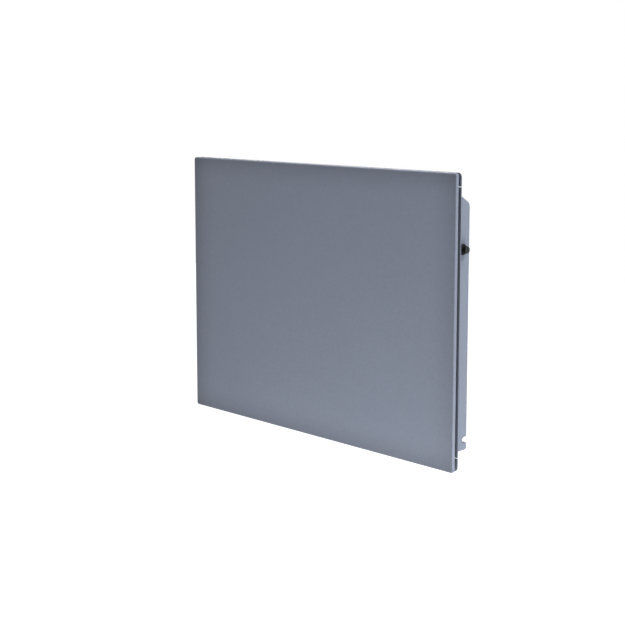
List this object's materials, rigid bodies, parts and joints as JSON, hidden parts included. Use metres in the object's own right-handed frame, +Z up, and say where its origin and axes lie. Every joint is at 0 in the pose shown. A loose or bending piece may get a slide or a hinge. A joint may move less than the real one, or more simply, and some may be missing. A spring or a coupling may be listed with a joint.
{
  "type": "electric panel radiator",
  "caption": "Slim wall-hung electric panel radiator: a plain front panel on spacers before a vented casing with heating element, thermostat knob on the side.",
  "frame": {"origin": "midway between the two keyholes' round entries, on the wall plane", "axes": "+X to the right as the user faces the radiator, +Y into the wall, +Z up"},
  "size_m": [0.6006, 0.044, 0.45],
  "materials": {
    "panel_paint": "fine-textured satin powder coat, blue grey",
    "casing_paint": "fine-textured satin powder coat, blue grey",
    "zinc_steel": "bright zinc plate",
    "aluminium": "mill finish",
    "element_steel": "drawn stainless sheath",
    "ceramic": "matte ceramic",
    "rubber": "matte",
    "brass": "bright",
    "black_plastic": "matte moulded",
    "knob_plastic": "matte moulded",
    "board_green": "lacquered board",
    "relay_blue": "moulded",
    "capacitor_yellow": "moulded",
    "fuse_white": "glazed",
    "plug_white": "moulded",
    "wire_brown": "insulation",
    "wire_blue": "insulation",
    "wire_green": "insulation",
    "wire_white": "heat-resistant sleeve",
    "wire_grey": "insulation"
  },
  "bodies": {
    "radiator": {"front_panel": "panel_paint", "panel_studs": "zinc_steel", "panel_spacers": "zinc_steel", "panel_nuts": "zinc_steel", "rear_casing": "casing_paint", "left_end_plate": "casing_paint", "right_end_plate": "casing_paint", "casing_rivets": "aluminium", "casing_studs": "zinc_steel", "casing_nuts": "zinc_steel", "control_partition": "zinc_steel", "partition_grommet": "rubber", "element_fins": "aluminium", "element_rod": "element_steel", "element_insulators": "ceramic", "element_pins": "zinc_steel", "left_element_bracket": "zinc_steel", "right_element_bracket": "zinc_steel", "element_bushes": "ceramic", "heat_shield": "aluminium", "limiter_bracket": "zinc_steel", "limiter_body": "black_plastic", "limiter_cap": "aluminium", "limiter_spades": "brass", "limiter_rivets": "zinc_steel", "control_body": "black_plastic", "control_cover": "black_plastic", "control_washer": "zinc_steel", "control_nut": "brass", "circuit_board": "board_green", "board_spacers": "brass", "board_screws": "zinc_steel", "board_relay": "relay_blue", "board_capacitor": "capacitor_yellow", "board_fuse": "fuse_white", "fuse_clips": "brass", "board_plugs": "plug_white", "terminal_block": "plug_white", "terminal_screws": "brass", "earth_tag": "brass", "room_sensor": "black_plastic", "sensor_clip": "plug_white", "live_wire": "wire_brown", "neutral_wire": "wire_blue", "earth_wire": "wire_green", "heater_wire": "wire_white", "limiter_wire": "wire_white", "return_wire": "wire_white", "control_wire": "wire_grey", "sensor_wire": "wire_grey"},
    "knob": {"thermostat_knob": "knob_plastic", "control_shaft": "brass"}
  },
  "joints": [
    {"name": "knob_turn", "type": "hinge", "parent": "radiator", "child": "knob", "pos_m": [0.29, -0.0164, 0], "axis": [1, 0, 0], "range_deg": [-140, 140]}
  ]
}
